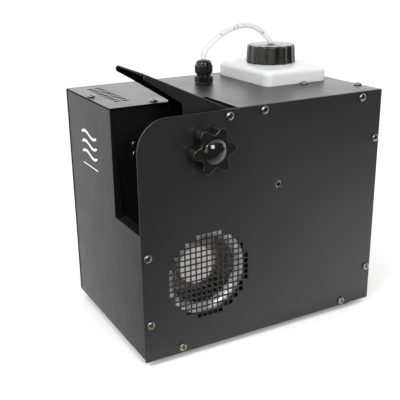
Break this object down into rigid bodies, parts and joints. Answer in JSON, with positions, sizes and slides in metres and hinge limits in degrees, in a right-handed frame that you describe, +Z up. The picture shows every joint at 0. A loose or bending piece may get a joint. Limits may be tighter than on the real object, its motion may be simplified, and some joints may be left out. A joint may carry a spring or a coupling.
{
  "type": "fog machine",
  "caption": "Upright sheet-metal fog machine: grilled blower, open outlet channel with a tilting deflector flap on a star knob, and a lift-out fluid bottle with a screw cap.",
  "frame": {"origin": "on the floor plane of the feet, under the middle of the overall bounding box", "axes": "+X towards the blower side with the star knob, -Y towards the fog outlet, +Z up"},
  "size_m": [0.2118, 0.2954, 0.3228],
  "materials": {
    "case_paint": "fine satin black powder coat",
    "cover_paint": "fine satin black powder coat",
    "channel_paint": "satin black paint",
    "screw_steel": "nickel-plated steel",
    "zinc_steel": "zinc-plated steel",
    "inlet_steel": "bright spun metal",
    "rubber": "matt black rubber",
    "black_plastic": "moulded black plastic",
    "knob_plastic": "half-gloss black plastic",
    "knob_gloss": "gloss black plastic",
    "bottle_plastic": "translucent natural polyethylene",
    "hose_clear": "clear flexible tube",
    "seal_rubber": "grey rubber",
    "housing_metal": "grey coated steel",
    "wheel_metal": "dull olive-grey sheet",
    "rotor_metal": "light grey satin",
    "motor_metal": "cast satin",
    "heater_aluminium": "cast",
    "copper": "drawn tube",
    "pump_plastic": "dark grey plastic",
    "board_green": "green circuit board",
    "window": "dark red clear window"
  },
  "bodies": {
    "case": {"chassis_wrap": "case_paint", "right_side_panel": "case_paint", "left_side_panel": "case_paint", "top_cover": "cover_paint", "outlet_duct": "channel_paint", "pivot_bolt": "zinc_steel", "tank_tray": "zinc_steel", "heater_bracket": "zinc_steel", "gland_body": "black_plastic", "gland_nut": "black_plastic", "gland_locknut": "black_plastic", "fluid_hose": "hose_clear", "blower_housing": "housing_metal", "blower_inlet_ring": "inlet_steel", "blower_motor": "motor_metal", "heater_block": "heater_aluminium", "outlet_nozzle": "inlet_steel", "fluid_pump": "pump_plastic", "pressure_line": "copper", "control_board": "board_green", "display_window": "window", "signal_in_socket": "black_plastic", "signal_out_socket": "black_plastic", "power_switch_body": "black_plastic", "power_inlet": "black_plastic", "foot_rear_right": "rubber", "foot_rear_left": "rubber", "foot_front_right": "rubber", "foot_front_left": "rubber", "side_screw_1": "screw_steel", "side_screw_2": "screw_steel", "side_screw_3": "screw_steel", "side_screw_4": "screw_steel", "side_screw_5": "screw_steel", "side_screw_6": "screw_steel", "side_screw_7": "screw_steel", "side_screw_8": "screw_steel", "side_screw_9": "screw_steel", "top_screw_1": "screw_steel", "top_screw_2": "screw_steel", "top_screw_3": "screw_steel", "top_screw_4": "screw_steel", "nozzle_screw_1": "screw_steel", "nozzle_screw_2": "screw_steel"},
    "flap": {"deflector_flap": "case_paint", "clamp_stud": "zinc_steel"},
    "clamp_washer": {"knob_washer": "black_plastic"},
    "knob": {"star_knob": "knob_plastic", "knob_cap": "knob_gloss"},
    "bottle": {"fluid_tank": "bottle_plastic"},
    "cap_ring": {"cap_seal": "seal_rubber"},
    "cap": {"tank_cap": "black_plastic"},
    "fan_wheel": {"blower_wheel": "wheel_metal", "blower_rotor": "rotor_metal"},
    "rocker": {"power_switch_rocker": "black_plastic"},
    "key_menu": {"button_menu": "rubber"},
    "key_down": {"button_down": "rubber"},
    "key_up": {"button_up": "rubber"},
    "key_enter": {"button_enter": "rubber"},
    "fuse": {"fuse_drawer": "black_plastic"}
  },
  "joints": [
    {"name": "flap_tilt", "type": "hinge", "parent": "case", "child": "flap", "pos_m": [0.0521, -0.07345, 0.2226], "axis": [1, 0, 0], "range_deg": [-8, 90]},
    {"name": "knob_travel", "type": "slide", "parent": "flap", "child": "clamp_washer", "axis": [1, 0, 0], "range_m": [0, 0.00205]},
    {"name": "knob_turn", "type": "hinge", "parent": "clamp_washer", "child": "knob", "pos_m": [0.09345, -0.07345, 0.2226], "axis": [1, 0, 0], "range_deg": [0, 720]},
    {"name": "bottle_lift", "type": "slide", "parent": "case", "child": "bottle", "axis": [0, 0, 1], "range_m": [0, 0.18], "deforming": ["fluid_hose"]},
    {"name": "cap_rise", "type": "slide", "parent": "bottle", "child": "cap_ring", "axis": [0, 0, 1], "range_m": [0, 0.00605], "deforming": ["fluid_hose"]},
    {"name": "cap_turn", "type": "hinge", "parent": "cap_ring", "child": "cap", "pos_m": [-0.0492, 0.0893, 0.285], "axis": [0, 0, 1], "range_deg": [0, 540], "deforming": ["fluid_hose"]},
    {"name": "wheel_spin", "type": "hinge", "parent": "case", "child": "fan_wheel", "pos_m": [0.04845, -0.072, 0.0881], "axis": [1, 0, 0], "continuous": true},
    {"name": "rocker_tilt", "type": "hinge", "parent": "case", "child": "rocker", "pos_m": [0.04545, 0.14025, 0.105], "axis": [1, 0, 0], "range_deg": [-18, 0]},
    {"name": "press_menu", "type": "slide", "parent": "case", "child": "key_menu", "axis": [0, -1, 0], "range_m": [0, 0.0008]},
    {"name": "press_down", "type": "slide", "parent": "case", "child": "key_down", "axis": [0, -1, 0], "range_m": [0, 0.0008]},
    {"name": "press_up", "type": "slide", "parent": "case", "child": "key_up", "axis": [0, -1, 0], "range_m": [0, 0.0008]},
    {"name": "press_enter", "type": "slide", "parent": "case", "child": "key_enter", "axis": [0, -1, 0], "range_m": [0, 0.0008]},
    {"name": "fuse_pull", "type": "slide", "parent": "case", "child": "fuse", "axis": [0, 1, 0], "range_m": [0, 0.024]}
  ],
  "couplings": [
    {"joint": "knob_travel", "follows": "knob_turn", "m_per_rad": 0.00015915},
    {"joint": "cap_rise", "follows": "cap_turn", "m_per_rad": 0.00063662}
  ]
}
